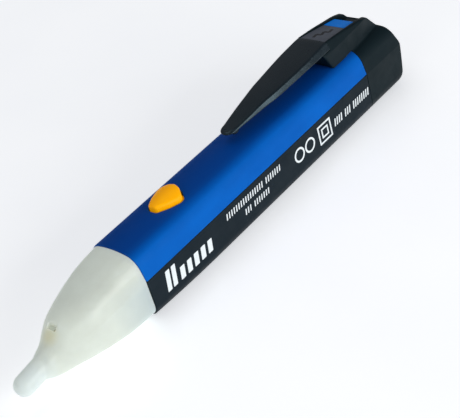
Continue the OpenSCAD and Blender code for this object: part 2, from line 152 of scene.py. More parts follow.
class Shade:
    """A material on one Principled shader, with small helpers to wire its nodes."""

    def __init__(self, name):
        self.mat = bpy.data.materials.new(name)
        self.mat.use_nodes = True
        self.tree = self.mat.node_tree
        self.bsdf = self.tree.nodes["Principled BSDF"]
        self.where = self.node("ShaderNodeTexCoord").outputs["Object"]

    def node(self, kind, **values):
        made = self.tree.nodes.new(kind)
        for key, value in values.items():
            if hasattr(made, key):
                setattr(made, key, value)
            else:
                made.inputs[key.replace("_", " ")].default_value = value
        return made

    def link(self, a, b):
        self.tree.links.new(a, b)

    def noise(self, size_mm, detail, stretch=None):
        """Noise whose grains are about size_mm across."""
        source = self.where
        if stretch:
            scaled = self.node("ShaderNodeMapping")
            scaled.inputs["Scale"].default_value = stretch
            self.link(source, scaled.inputs["Vector"])
            source = scaled.outputs["Vector"]
        grain = self.node("ShaderNodeTexNoise", Scale=1000.0 / size_mm, Detail=detail,
                          Roughness=0.55)
        self.link(source, grain.inputs["Vector"])
        return grain.outputs["Fac"]

    def span(self, value, low, high, start=0.35, end=0.65):
        """value, over start to end, turned into low to high."""
        ramp = self.node("ShaderNodeMapRange")
        for key, number in (("From Min", start), ("From Max", end), ("To Min", low), ("To Max", high)):
            ramp.inputs[key].default_value = number
        self.link(value, ramp.inputs["Value"])
        return ramp.outputs["Result"]

    def blend(self, share, a, b):
        """From a to b by the socket share; a and b are each a colour or a socket."""
        mix = self.node("ShaderNodeMix", data_type="RGBA")
        for socket, colour in ((mix.inputs[6], a), (mix.inputs[7], b)):
            if hasattr(colour, "links"):
                self.link(colour, socket)
            else:
                socket.default_value = (*colour, 1)
        self.link(share, mix.inputs[0])
        return mix.outputs[2]

    def product(self, a, b):
        both = self.node("ShaderNodeMath", operation="MULTIPLY")
        self.link(a, both.inputs[0])
        self.link(b, both.inputs[1])
        return both.outputs[0]

    def axes(self):
        """The place's x, y and z, each as a socket."""
        split = self.node("ShaderNodeSeparateXYZ")
        self.link(self.where, split.inputs[0])
        return split.outputs

    def colour(self, socket):
        self.link(socket, self.bsdf.inputs["Base Color"])

    def roughness(self, socket):
        self.link(socket, self.bsdf.inputs["Roughness"])

    def bump(self, height, depth_mm, under=None):
        """Bump of about depth_mm; chain several by passing the last one as under."""
        bump = self.node("ShaderNodeBump", Strength=1.0, Distance=depth_mm * MM)
        self.link(height, bump.inputs["Height"])
        if under:
            self.link(under, bump.inputs["Normal"])
        self.link(bump.outputs["Normal"], self.bsdf.inputs["Normal"])
        return bump.outputs["Normal"]

    def edge_wear(self):
        """0 on flat places and 1 on sharp outer edges, broken up by noise."""
        point = self.node("ShaderNodeNewGeometry").outputs["Pointiness"]
        edge = self.span(point, 0, 1, 0.52, 0.62)
        return self.product(edge, self.span(self.noise(2.2, 4), 0.1, 1, 0.4, 0.6))

    def set(self, **values):
        for key, value in values.items():
            self.bsdf.inputs[key.replace("_", " ")].default_value = value


# The heights over which painted shade comes in on the crown, which faces away from the key light.
CROWN_SHADE_HEIGHTS = (18.9 * MM, 20.7 * MM)


def moulded(name, dark, light, rough, grain_mm=0.25, grain_depth=0.012, worn=None, crown=None, **extra):
    """Injection moulded plastic: fine spark-eroded grain, faint flow marks and, with worn, handled
    edges. With crown, the colour changes to it towards the top of the pen: painted shade, as the
    top faces away from the light."""
    m = Shade(name)
    flow = m.span(m.noise(9.0, 2, stretch=(0.45, 1, 1)), 0, 1)
    tone = m.blend(flow, dark, light)
    if crown:
        # Painted shade: the colour turns to crown towards the top, which faces away from the light.
        tone = m.blend(m.span(m.axes()[2], 0, 1, *CROWN_SHADE_HEIGHTS), tone, crown)
    if worn:
        tone = m.blend(m.edge_wear(), tone, worn)
    m.colour(tone)
    m.roughness(m.span(m.noise(3.5, 4), rough[0], rough[1]))
    grain = m.bump(m.noise(grain_mm, 2), grain_depth)
    m.bump(m.noise(6.0, 2), 0.02, grain)
    m.set(**extra)
    return m.mat


def frosted(name):
    """Milky translucent plastic. The solid finger is paler. Near the joint the flanks get painted
    shade, standing for the dark shells seen through them; by the window a painted yellow glow
    stands for the lamp's light; and the emission is a painted glow all over."""
    m = Shade(name)
    x, _, z = m.axes()
    cloud = m.span(m.noise(7.0, 3), 0, 1)
    milk = m.blend(cloud, (0.45, 0.48, 0.43), (0.50, 0.535, 0.485))
    finger = m.span(x, 1, 0, (JOINT - 34) * MM, (JOINT - 28) * MM)
    milk = m.blend(finger, milk, (0.49, 0.545, 0.55))
    # Painted shade: the flanks darken near the joint, where the dark shells inside would show through.
    near_joint = m.span(x, 0, 1, (JOINT - 13) * MM, (JOINT - 1) * MM)
    painted_joint_shade = m.product(near_joint, m.span(z, 1, 0, 11.5 * MM, 16.5 * MM))
    milk = m.blend(painted_joint_shade, milk, (0.31, 0.37, 0.385))
    # Painted glow: a yellow patch round the window stands for the lamp's light through the plastic.
    away = m.node("ShaderNodeVectorMath", operation="DISTANCE")
    away.inputs[1].default_value = Vector((JOINT + WINDOW_S - 1.8, -0.2, 14.0)) * MM
    m.link(m.where, away.inputs[0])
    lamp = m.span(away.outputs["Value"], 0.75, 0, 0.8 * MM, 3.2 * MM)
    m.colour(m.blend(lamp, milk, (0.46, 0.42, 0.22)))
    m.roughness(m.span(m.noise(2.5, 3), 0.34, 0.46))
    m.bump(m.noise(0.3, 2), 0.008)
    m.set(Subsurface_Weight=1.0, Subsurface_Scale=0.0035, IOR=1.5)
    # Painted glow: the emission brightens the nose all over, though it is no lamp.
    m.set(Emission_Color=(0.77, 0.84, 0.78, 1), Emission_Strength=0.28)
    m.bsdf.inputs["Subsurface Radius"].default_value = (1.0, 0.95, 0.8)
    return m.mat


def metal(name, tint, rough):
    """Rolled and plated strip: fine brushing, dull patches."""
    m = Shade(name)
    brushed = (0.15, 1, 1)
    dull = [c * 0.82 for c in tint]
    m.colour(m.blend(m.span(m.noise(1.6, 4), 0, 1), dull, tint))
    m.roughness(m.span(m.noise(0.7, 3, stretch=brushed), rough[0], rough[1]))
    m.bump(m.noise(0.22, 2, stretch=brushed), 0.006)
    m.set(Metallic=1.0)
    return m.mat


def printed(name):
    """Pad printed ink: slightly thin in places so that the plastic shows through."""
    m = Shade(name)
    thin = m.span(m.noise(0.45, 4), 0, 0.35, 0.56, 0.72)
    m.colour(m.blend(thin, (0.80, 0.86, 0.88), (0.45, 0.50, 0.52)))
    m.roughness(m.span(m.noise(1.0, 3), 0.45, 0.6))
    m.bump(m.noise(0.12, 2), 0.004)
    return m.mat


def board_finish(name):
    """Solder mask in slightly different greens, with lighter lines where copper runs under it."""
    m = Shade(name)
    cell = m.node("ShaderNodeTexBrick", Scale=420.0, Mortar_Size=0.045,
                  Color1=(0.012, 0.15, 0.045, 1), Color2=(0.01, 0.12, 0.04, 1),
                  Mortar=(0.03, 0.26, 0.09, 1))
    m.link(m.where, cell.inputs["Vector"])
    m.colour(cell.outputs["Color"])
    m.roughness(m.span(m.noise(2.0, 3), 0.22, 0.38))
    m.bump(cell.outputs["Fac"], 0.02, m.bump(m.noise(0.3, 2), 0.01))
    return m.mat


def lens(name, dark, light):
    """Clear epoxy of a lamp, faintly cloudy."""
    m = Shade(name)
    m.colour(m.blend(m.span(m.noise(1.2, 3), 0, 1), dark, light))
    m.roughness(m.span(m.noise(0.8, 2), 0.06, 0.16))
    m.bump(m.noise(1.0, 2), 0.01)
    m.set(Transmission_Weight=0.55, IOR=1.5)
    return m.mat


COOL_GLOSS = (0.62, 0.88, 1.0, 1)
MATERIALS = {
    "black_shell": moulded("black_shell", (0.004, 0.009, 0.014), (0.006, 0.012, 0.018),
                           (0.45, 0.58), worn=(0.03, 0.04, 0.045), Specular_IOR_Level=0.14,
                           Specular_Tint=COOL_GLOSS),
    # The blue shell's crown colour is painted shade on the top of the pen.
    "blue_shell": moulded("blue_shell", (0.0, 0.105, 0.47), (0.0, 0.125, 0.54),
                          (0.42, 0.55), worn=(0.01, 0.18, 0.66), crown=(0.0, 0.054, 0.30),
                          Specular_IOR_Level=0.05),
    "black_cap": moulded("black_cap", (0.002, 0.007, 0.0095), (0.003, 0.009, 0.012),
                         (0.42, 0.54), worn=(0.03, 0.042, 0.047), Specular_IOR_Level=0.14,
                         Specular_Tint=COOL_GLOSS),
    "black_clip": moulded("black_clip", (0.003, 0.006, 0.010), (0.005, 0.009, 0.013),
                          (0.22, 0.32), grain_mm=0.4, grain_depth=0.001, worn=(0.03, 0.04, 0.047),
                          Specular_IOR_Level=0.5, Specular_Tint=COOL_GLOSS),
    "grey_panel": moulded("grey_panel", (0.06, 0.07, 0.095), (0.075, 0.088, 0.115), (0.40, 0.55)),
    "blue_badge": moulded("blue_badge", (0.0, 0.2, 0.8), (0.0, 0.24, 0.88),
                          (0.3, 0.42), Specular_IOR_Level=0.08),
    # The button's emission is a painted glow that brightens it; it is no lamp.
    "orange_button": moulded("orange_button", (0.90, 0.36, 0.0), (0.95, 0.44, 0.0),
                             (0.34, 0.46), worn=(0.98, 0.55, 0.05), grain_depth=0.006,
                             Specular_IOR_Level=0.12, Emission_Color=(1.0, 0.42, 0.0, 1),
                             Emission_Strength=0.28),
    "black_part": moulded("black_part", (0.012, 0.012, 0.013), (0.022, 0.022, 0.024), (0.4, 0.6)),
    "resistor_black": moulded("resistor_black", (0.02, 0.02, 0.025), (0.04, 0.04, 0.05), (0.2, 0.35)),
    "ceramic_tan": moulded("ceramic_tan", (0.38, 0.25, 0.14), (0.5, 0.35, 0.2), (0.35, 0.5)),
    "white_sleeve": moulded("white_sleeve", (0.72, 0.70, 0.63), (0.82, 0.80, 0.73), (0.4, 0.5)),
    "cell_wrap": moulded("cell_wrap", (0.01, 0.11, 0.07), (0.015, 0.16, 0.10),
                         (0.12, 0.22), grain_depth=0.004),
    "cell_filling": moulded("cell_filling", (0.02, 0.02, 0.02), (0.06, 0.06, 0.06),
                            (0.8, 0.95), grain_depth=0.05),
    "frosted_nose": frosted("frosted_nose"),
    "green_board": board_finish("green_board"),
    "spring_steel": metal("spring_steel", (0.62, 0.63, 0.65), (0.22, 0.36)),
    "nickel_plate": metal("nickel_plate", (0.66, 0.63, 0.56), (0.24, 0.4)),
    "cell_steel": metal("cell_steel", (0.6, 0.6, 0.62), (0.2, 0.34)),
    "tinned_wire": metal("tinned_wire", (0.66, 0.66, 0.66), (0.25, 0.4)),
    "copper_wire": metal("copper_wire", (0.78, 0.36, 0.2), (0.25, 0.4)),
    "red_lens": lens("red_lens", (0.5, 0.01, 0.008), (0.7, 0.03, 0.015)),
    "clear_lens": lens("clear_lens", (0.85, 0.78, 0.5), (0.95, 0.9, 0.65)),
}
INK = printed("white_print")
DARK_INK = moulded("dark_print", (0.006, 0.007, 0.009), (0.012, 0.013, 0.016),
                   (0.5, 0.65), grain_depth=0.004)


def finish_cad_nodes():
    slots = {row["node"]: row["material_slot"] for row in frame["record"]["subparts"]}
    for node, obj in frame["nodes"].items():
        for slot in obj.material_slots:
            slot.material = MATERIALS[slots[node]]


# ------------------------------------------------------------------ distance field tools

# A sloping plane or side is scaled in the fields below, so that it gives about true distances.


def meet(a, b, r):
    """Where both fields are solid, with the edge rounded to about radius r."""
    u, v = np.maximum(r + a, 0), np.maximum(r + b, 0)
    return np.minimum(-r, np.maximum(a, b)) + np.sqrt(u * u + v * v)


def join(a, b, r):
    """Where either field is solid, with a fillet of about radius r."""
    u, v = np.maximum(r - a, 0), np.maximum(r - b, 0)
    return np.maximum(r, np.minimum(a, b)) - np.sqrt(u * u + v * v)


def carve(a, b, r):
    """a without b, with the cut's edge rounded."""
    return meet(a, -b, r)


def line(*knots):
    """A smooth curve through (position, value) knots, with no overshoot."""
    at, value = np.array(knots, float).T
    slope = np.diff(value) / np.diff(at)
    before, after = slope[:-1], slope[1:]
    mean = 2 * before * after / np.where(before + after == 0, 1, before + after)
    bend = np.concatenate([[slope[0]], np.where(before * after > 0, mean, 0), [slope[-1]]])

    def value_at(x):
        i = np.clip(np.searchsorted(at, x) - 1, 0, len(at) - 2)
        gap = at[i + 1] - at[i]
        t = np.clip((x - at[i]) / gap, 0, 1)
        a, b = value[i], value[i + 1]
        return (a * (1 + 2 * t) * (1 - t) ** 2 + b * t * t * (3 - 2 * t)
                + gap * t * (1 - t) * (bend[i] * (1 - t) - bend[i + 1] * t))

    return value_at


def outline(x, y, corners):
    """Distance to a closed polygon in a plane, negative inside."""
    best = np.full(np.broadcast(x, y).shape, 1e9)
    sign = np.ones_like(best)
    for (ax, ay), (bx, by) in zip(corners, corners[1:] + corners[:1]):
        ex, ey = bx - ax, by - ay
        wx, wy = x - ax, y - ay
        t = np.clip((wx * ex + wy * ey) / (ex * ex + ey * ey), 0, 1)
        best = np.minimum(best, (wx - ex * t) ** 2 + (wy - ey * t) ** 2)
        above, below, left = y >= ay, y < by, ex * wy > ey * wx
        flip = (above & below & left) | (~above & ~below & ~left)
        sign = np.where(flip, -sign, sign)
    return sign * np.sqrt(best)


def rod(s, y, z, a, b, r):
    """A round-ended rod from a to b in the plane y = 0."""
    (s0, z0), (s1, z1) = a, b
    ds, dz = s1 - s0, z1 - z0
    t = np.clip(((s - s0) * ds + (z - z0) * dz) / (ds * ds + dz * dz), 0, 1)
    return np.sqrt((s - s0 - ds * t) ** 2 + y * y + (z - z0 - dz * t) ** 2) - r


def ruler(*marks):
    """Grid positions from the first mark to the last or just past it; a mark is (position, spacing)."""
    at, spacing = zip(*marks)
    out = [at[0]]
    while out[-1] < at[-1]:
        out.append(out[-1] + float(np.interp(out[-1], at, spacing)))
    return np.array(out)


def skin(field, xs, ys, zs):
    """The zero surface of a field on an uneven grid, as points, outward quads and normals."""
    axes = (xs, ys, zs)
    unit = np.eye(3, dtype=int)
    values = field(*np.meshgrid(xs, ys, zs, indexing="ij", sparse=True))
    inside = values < 0
    cells = np.array(inside.shape) - 1

    def around(at, axis):
        """The four cells that share the grid edge from each node along axis."""
        one, two = unit[(axis + 1) % 3], unit[(axis + 2) % 3]
        return [at - one - two, at - two, at, at - one]

    def in_grid(cell):
        return np.all((cell >= 0) & (cell < cells), 1)

    found, crossings = [], []
    for axis in range(3):
        low = [slice(None)] * 3
        high = [slice(None)] * 3
        low[axis], high[axis] = slice(0, -1), slice(1, None)
        at = np.argwhere(inside[tuple(low)] != inside[tuple(high)])
        a = values[tuple(at.T)]
        b = values[tuple((at + unit[axis]).T)]
        point = np.stack([axes[k][at[:, k]] for k in range(3)], 1)
        point[:, axis] += a / (a - b) * (axes[axis][at[:, axis] + 1] - axes[axis][at[:, axis]])
        crossings.append((axis, at, a < 0))
        for cell in around(at, axis):
            ok = in_grid(cell)
            found.append((np.ravel_multi_index(cell[ok].T, cells), point[ok]))
    keys = np.concatenate([k for k, _ in found])
    points = np.concatenate([p for _, p in found])
    used, number = np.unique(keys, return_inverse=True)
    count = np.bincount(number)
    verts = np.stack([np.bincount(number, points[:, k]) / count for k in range(3)], 1)
    quads = []
    for axis, at, outward in crossings:
        ring = around(at, axis)
        ok = np.all([in_grid(cell) for cell in ring], 0)
        keys = [np.ravel_multi_index(cell[ok].T, cells) for cell in ring]
        ids = np.stack([np.searchsorted(used, key) for key in keys], 1)
        quads.append(np.where(outward[ok][:, None], ids, ids[:, ::-1]))
    quads = np.concatenate(quads)

    def slope(p):
        h = 0.01
        parts = []
        for d in np.eye(3) * h:
            parts.append((field(*(p + d).T) - field(*(p - d).T)) / (2 * h))
        return np.stack(parts, 1)

    for _ in range(4):
        g = slope(verts)
        push = field(*verts.T) / np.maximum((g * g).sum(1), 0.2)
        verts -= np.clip(push, -0.12, 0.12)[:, None] * g
    g = slope(verts)
    normals = g / np.maximum(np.linalg.norm(g, axis=1), 1e-9)[:, None]
    return verts, quads, normals


def add_piece(name, verts, faces, material, normals=None):
    """A mesh in the CAD frame from points in millimetres, smooth shaded."""
    mesh = bpy.data.meshes.new(name)
    verts = (np.asarray(verts, float) + (JOINT, 0, 0)) * MM
    mesh.from_pydata(verts.tolist(), [], faces if isinstance(faces, list) else faces.tolist())
    mesh.polygons.foreach_set("use_smooth", [True] * len(mesh.polygons))
    if normals is not None:
        mesh.normals_split_custom_set_from_vertices(normals.tolist())
    mesh.materials.append(material)
    obj = bpy.data.objects.new(name, mesh)
    bpy.context.scene.collection.objects.link(obj)
    return obj


def solid(name, field, grid, slot, node, body_name):
    """A smooth moulded piece that stands for a CAD node. It rides on a body, unless that is None."""
    verts, quads, normals = skin(field, *grid)
    obj = add_piece(name, verts, quads, MATERIALS[slot], normals)
    if body_name:
        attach(obj, body_name)
    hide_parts(node)
    return obj


# ------------------------------------------------------------------ the pen's section


def section(y, z):
    """Distance to the pen's cross-section: widest at the parting line, with a shallow crown."""
    ay = np.abs(y)
    flank = np.maximum(ay - HALF + FLANK_DRAFT * (SEAM_Z - z), (ay - HALF + 0.2 * (z - SEAM_Z)) / 1.02)
    crown = np.hypot(y, z - CROWN + CROWN_R) - CROWN_R
    return meet(meet(flank, crown, 2.6), -z, 4.0)


def body(s, y, z, inset=0.0):
    """The section along the pen; the underside lifts a little towards the nose."""
    rise = np.clip(1 - s / 26, 0, 1.4) ** 2
    squeezed = z - rise * np.clip(1 - z / SEAM_Z, 0, 1)
    return section(y, squeezed) + inset


def barrel(y, z):
    """Distance to the round room that the cells take."""
    return np.hypot(y, z - CELL_Z) - CELL_ROOM


# ------------------------------------------------------------------ the shells

# Grid positions across the pen.
YS = ruler((-9.6, 0.26), (9.6, 0.26))


def shell_ruler(at_button):
    """Fine at both rims, and at_button apart round the button."""
    return ruler((-0.2, 0.07), (0.4, 0.07), (2.5, 0.9), (12.0, 0.9), (14.0, at_button), (26.0, at_button),
                 (28, 1.1), (SEAM_S - 3, 1.1), (SEAM_S - 0.5, 0.07), (SEAM_S + 0.3, 0.07))


def tube(s, y, z):
    """The hollow pen between the nose joint and the cap seam, with softened rims."""
    wall = np.maximum(body(s, y, z), -body(s, y, z, WALL))
    wall = meet(wall, 0.03 - s, 0.16)
    return meet(wall, s - SEAM_S + 0.05, 0.16)


def button_shape(s, y, margin=0.0):
    """The rounded triangle of the button, pointing at the nose."""
    f = BUTTON_S
    side = [(f + 2.0, 0.7), (f + 4.4, 2.1), (f + 7.1, 3.05), (f + 7.7, 3.0), (f + 9.0, 1.35), (f + 9.4, 0)]
    core = [(u, -v) for u, v in side] + side[-2::-1]
    return outline(s, y, core) - 1.05 - margin


def upper_shell(s, y, z):
    """The blue shell, with the button's opening and four posts under its crown."""
    d = meet(tube(s, y, z), SEAM_Z + 0.03 - z, 0.14)
    d = carve(d, button_shape(s, y, 0.34), 0.22)
    ay = np.abs(y)
    post = np.minimum(np.hypot(s - 8, ay - 4.6), np.hypot(s - 40, ay - 4.6)) - 0.8
    post = np.maximum(np.maximum(post, 14.4 - z), z - 20.0)
    return np.minimum(d, post)


def lower_shell(s, y, z):
    """The black shell, with its lip, cradles for the cells, a bulkhead and the board's posts."""
    d = meet(tube(s, y, z), z - SEAM_Z + 0.03, 0.14)
    lip = np.maximum(body(s, y, z, 0.8), -body(s, y, z, WALL))
    lip = np.maximum(lip, np.maximum(z - SEAM_Z - 1, SEAM_Z - 0.6 - z))
    lip = np.maximum(lip, np.maximum(0.3 - s, s - SEAM_S + 0.3))
    d = np.minimum(d, lip)
    ay = np.abs(y)
    foot = RIB_FOOT - z
    for at in (27.0, 50.0, 74.0):
        rib = np.maximum(np.maximum(np.abs(s - at - 0.6) - 0.6, ay - 5.9), np.maximum(z - 5, foot))
        d = np.minimum(d, np.maximum(rib, 5.3 - np.hypot(y, z - CELL_Z)))
    bulkhead = np.maximum(np.maximum(np.abs(s - 18.4) - 0.7, ay - 5.8), np.maximum(z - 11.5, foot))
    bulkhead = np.maximum(bulkhead, -np.maximum(ay - 1.6, 9 - z))
    post = np.minimum(np.hypot(s - 11.4, ay - 5.6), np.hypot(s - 16.4, ay - 5.6)) - 0.9
    post = np.maximum(np.maximum(post, foot), z - 13.4)
    return np.minimum(d, np.minimum(bulkhead, post))


# ------------------------------------------------------------------ the nose

# Heights of the top and underside and the half width, by distance ahead of the joint.
NOSE_TOP = line((0, 20.72), (6, 19.95), (12, 18.75), (18, 17.4), (21, 16.7), (23, 16.0), (25, 14.6),
                (27, 12.8), (29, 11.4), (31, 9.8), (34, 7.8))
NOSE_LOW = line((0, 1.3), (10, 1.75), (18, 2.05), (26, 2.75), (30, 4.0), (34, 5.6))
NOSE_HALF = line((0, 9.1), (6, 8.98), (12, 8.55), (17, 7.75), (21, 6.6), (24, 5.3), (27, 4.1),
                 (30, 3.2), (34, 2.2))
# The sensing finger's axis and radius.
FINGER = ((TIP_S + 2.87, 7.5), (TIP_S + 14, 8.85))
FINGER_R = 2.83


def cone(s, y, z, inset=0.0):
    """The nose without its finger: the pen's section, shrinking and turning round."""
    u = np.clip(-s, 0, 34)
    half, top, low = NOSE_HALF(u) - inset, NOSE_TOP(u) - inset, NOSE_LOW(u) + inset
    tall = top - low
    scale = np.minimum(half / HALF, tall / CROWN)
    flat = section(y * HALF / half, (z - low) / tall * CROWN) * scale
    power = 2.35
    across, upward = np.abs(y / half), np.abs((z - low) * 2 / tall - 1)
    reach = (across ** power + upward ** power + 1e-9) ** (1 / power)
    oval = (reach - 1) * np.minimum(half, tall / 2)
    share = np.clip((u - 6) / 20, 0, 1)
    share = share * share * (3 - 2 * share)
    d = flat * (1 - share) + oval * share
    return meet(d, -s - 32.0 + inset, 2.6)


def nose_cone(s, y, z):
    """The cone and finger, hollow, with a collar that goes into the shells and a window on top."""
    outer = meet(cone(s, y, z), s + 0.03, 0.3)
    outer = join(outer, rod(s, y, z, *FINGER, FINGER_R), 1.3)
    hollow = np.maximum(cone(s, y, z, 1.35), s - 1)
    hollow = np.minimum(hollow, rod(s, y, z, *FINGER, 1.5))
    d = np.maximum(outer, -hollow)
    collar = np.maximum(body(s, y, z, 1.62), -body(s, y, z, 2.6))
    collar = np.maximum(collar, np.maximum(s - 4, -1.2 - s))
    ring = np.maximum(body(s, y, z, 0.9), -body(s, y, z, 2.6))
    ring = np.maximum(ring, np.maximum(s + 0.05, -1.2 - s))
    d = np.minimum(d, np.minimum(collar, ring))
    window = np.maximum(np.maximum(np.abs(s - WINDOW_S) - 0.65, np.abs(y) - 1.5), 12.2 - z)
    return carve(d, window, 0.25)


# ------------------------------------------------------------------ the button


def power_button(s, y, z):
    """A crowned pillow that stands proud of the shell, with a flange below the opening."""
    rise = 1.35 + 0.95 * np.clip((s - BUTTON_S) / 8, 0, 1) - 1.1 * (y / BUTTON_HALF) ** 2
    rise = rise - 0.4 * np.clip((s - BUTTON_S - 6.5) / 4, 0, 1) ** 2
    top = np.hypot(y, z - CROWN + CROWN_R) - CROWN_R - rise
    cap = meet(button_shape(s, y), top, 0.6)
    cap = np.maximum(cap, BUTTON_LOW - z)
    flange = np.maximum(button_shape(s, y, 0.75), np.maximum(BUTTON_LOW - z, z - BUTTON_LOW - 0.5))
    return np.minimum(cap, flange)


# ------------------------------------------------------------------ end cap and clip

# By s: half width and top of the clip, underside of its arm, top of the inlays.
# REAR is by z: how far the cap's rear face stands in from its rearmost point.
CLIP_HALF = line((46, 2.0), (50, 2.62), (55, 3.35), (60, 4.0), (65, 4.75), (70, 5.15), (75, 5.5),
                 (80, 5.75), (86, 5.8), (94, 5.6), (99, 5.3), (104, 5.0), (107.5, 4.6), (113, 4.3))
CLIP_TOP = line((44, 24.3), (49.6, 25.05), (54.6, 25.8), (59.5, 26.5), (64.5, 27.0), (70, 27.4),
                (75, 27.8), (80, 28.2), (84.5, 28.55), (87.3, 28.72), (90, 28.45), (94.2, 27.95),
                (99.2, 27.2), (104.2, 26.4), (107.5, 25.5), (112, 23.8))
ARM_UNDER = line((44, 23.6), (48.5, 24.05), (57, 24.7), (65, 25.1), (73, 25.65), (80, 26.05), (90, 26.25))
REAR = line((-1, 5.0), (0, 3.6), (1, 2.3), (2.5, 1.3), (4.5, 0.75), (8, 0.35), (13, 0.0), (30, 0.0))
INLAY_TOP = line((87, 28.62), (98.7, 26.75), (103.6, 25.95), (108, 25.0))

# The inlays' margin to the sides, their depth and ends, and the middle of the clip's round tip.
INLAY_MARGIN = 1.3
INLAY_DEPTH = 1.05
PANEL_END = 98.75
BADGE_START = 98.8
BADGE_END = 103.7
TIP_AT = 48.5


def clip_side(s, y, z):
    """The leaning sides shared by the arm and the block that carries it."""
    lean = np.clip(z - ARM_UNDER(s), -0.6, 3)
    return (np.abs(y) - CLIP_HALF(s) - 0.15 + 0.4 * lean) * 0.93


def heel(s, y, z):
    """The block that carries the clip, with its undercut front and sloping rear."""
    side = clip_side(s, y, z)
    top = (z - CLIP_TOP(s)) * 0.985
    rear = ((s - 107.6) * 4.9 + (z - 25.4) * 4.2) / 6.45
    front = (86.9 - 0.52 * (z - 21.5) - s) / 1.13
    d = meet(meet(side, top, 0.4), rear, 0.25)
    d = meet(d, front, 0.55)
    d = np.maximum(d, 19.6 - z)
    return np.maximum(d, np.minimum(ROOT_S - s, z - 26.15))


def end_cap(s, y, z):
    """The cap with its clip block, the inlays' channel, its hollow and its spigot."""
    rear = meet((s - REAR_S + 0.05 + REAR(z)) * 0.97, (s - REAR_S + 0.39 * (z - 13.3)) / 1.073, 0.6)
    rear = meet(rear, (s - REAR_S + 1.5 * (z - 18.2)) / 1.8, 0.6)
    cap = meet(body(s, y, z), rear, 0.8)
    cap = meet(cap, SEAM_S + 0.08 - s, 0.16)
    block = carve(heel(s, y, z), np.maximum(body(s, y, z, -0.28), s - SEAM_S - 0.15), 0.12)
    d = join(cap, block, 0.45)
    channel = np.maximum(np.abs(y) - CLIP_HALF(s) + 1.25, INLAY_TOP(s) - 1.1 - z)
    channel = np.maximum(channel, ROOT_S - 0.05 - s)
    d = carve(d, channel, 0.15)
    room = np.minimum(body(s, y, z, WALL + 1.2), barrel(y, z))
    d = carve(d, np.maximum(room, s - REAR_S + CAP_FLOOR), 0.1)
    spigot = np.maximum(body(s, y, z, WALL + 0.2), -body(s, y, z, WALL + 1.2))
    spigot = np.maximum(spigot, -barrel(y, z))
    spigot = meet(spigot, SEAM_S - 6 - s, 0.25)
    return np.minimum(d, np.maximum(spigot, s - SEAM_S - 1))


def pocket_clip(s, y, z):
    """The clip's arm from its round tip to its root, with the bead under the tip."""
    tip = (np.hypot(s - TIP_AT, y) - 2.5 + 0.4 * np.clip(z - 24.2, 0, 3)) * 0.93
    plan = np.where(s < TIP_AT, tip, clip_side(s, y, z))
    crowned = CLIP_TOP(s) - 0.012 * y * y * (28.0 / (28.0 + (s - 46) ** 2 * 0.02))
    top = (z - crowned) * 0.99
    arm = meet(meet(plan, top, 0.45), ARM_UNDER(s) - z, 0.3)
    bead = np.hypot(s - 49.2, z - 24.5) - 1.75
    bead = meet(meet(bead, np.abs(y) - 1.9, 0.5), z - 24.9, 0.1)
    arm = join(arm, bead, 0.35)
    return np.maximum(arm, s - ROOT_S)


def inlay(s, y, z, start, end, lift, r):
    """A plate let into the block's top, from start to end, standing lift proud of INLAY_TOP."""
    d = meet(np.abs(y) - CLIP_HALF(s) + INLAY_MARGIN, z - INLAY_TOP(s) - lift, r)
    d = np.maximum(d, INLAY_TOP(s) - INLAY_DEPTH - z)
    return meet(d, np.maximum(start - s, s - end), r)


def clip_panel(s, y, z):
    return inlay(s, y, z, ROOT_S + 0.05, PANEL_END, 0.0, 0.12)


def clip_badge(s, y, z):
    return inlay(s, y, z, BADGE_START, BADGE_END, 0.05, 0.2)


# ------------------------------------------------------------------ printed marks

# How far printed ink stands out of the surface, and into it.
INK_HALF = 0.035


def flank_point(s, z, lift):
    """A point on the near flank of the pen, lifted off it a little."""
    return (s, -(HALF - FLANK_DRAFT * (SEAM_Z - z)) - lift, z)


def slab(shape, place):
    """A thin solid plate, half sunk, from a convex outline given as (u, v) points."""
    low = [place(u, v, -INK_HALF) for u, v in shape]
    high = [place(u, v, INK_HALF) for u, v in shape]
    n = len(shape)
    faces = [list(range(n)), list(range(2 * n - 1, n - 1, -1))]
    faces += [[i + n, (i + 1) % n + n, (i + 1) % n, i] for i in range(n)]
    return low + high, faces


def bar(u0, v0, u1, v1, lean, r):
    """The outline of a rounded bar, leaning by lean for each unit of height."""
    pts = []
    corners = ((u1 - r, v1 - r, 0), (u0 + r, v1 - r, 90), (u0 + r, v0 + r, 180), (u1 - r, v0 + r, 270))
    for cu, cv, start in corners:
        for k in range(5):
            a = math.radians(start + 22.5 * k)
            pts.append((cu + r * math.cos(a), cv + r * math.sin(a)))
    return [(u + lean * (v - v0), v) for u, v in pts]


def stroke(u0, v0, u1, v1, width):
    """The outline of a straight stroke with square ends."""
    du, dv = u1 - u0, v1 - v0
    long = math.hypot(du, dv)
    nu, nv = -dv / long * width / 2, du / long * width / 2
    return [(u0 + nu, v0 + nv), (u0 - nu, v0 - nv), (u1 - nu, v1 - nv), (u1 + nu, v1 + nv)]


def ring_strokes(cu, cv, r, width, n):
    """n short strokes that close up into a ring."""
    out = []
    for k in range(n):
        a, b = (math.radians(360 * (k + t) / n) for t in (0, 1))
        inner, outer = r - width / 2, r + width / 2
        out.append([(cu + inner * math.cos(a), cv + inner * math.sin(a)),
                    (cu + outer * math.cos(a), cv + outer * math.sin(a)),
                    (cu + outer * math.cos(b), cv + outer * math.sin(b)),
                    (cu + inner * math.cos(b), cv + inner * math.sin(b))])
    return out


def add_print(name, shapes, place, body_name, material):
    verts, faces = [], []
    for shape in shapes:
        v, f = slab(shape, place)
        faces += [[i + len(verts) for i in face] for face in f]
        verts += v
    obj = add_piece(name, verts, faces, material)
    obj.data.polygons.foreach_set("use_smooth", [False] * len(obj.data.polygons))
    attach(obj, body_name)


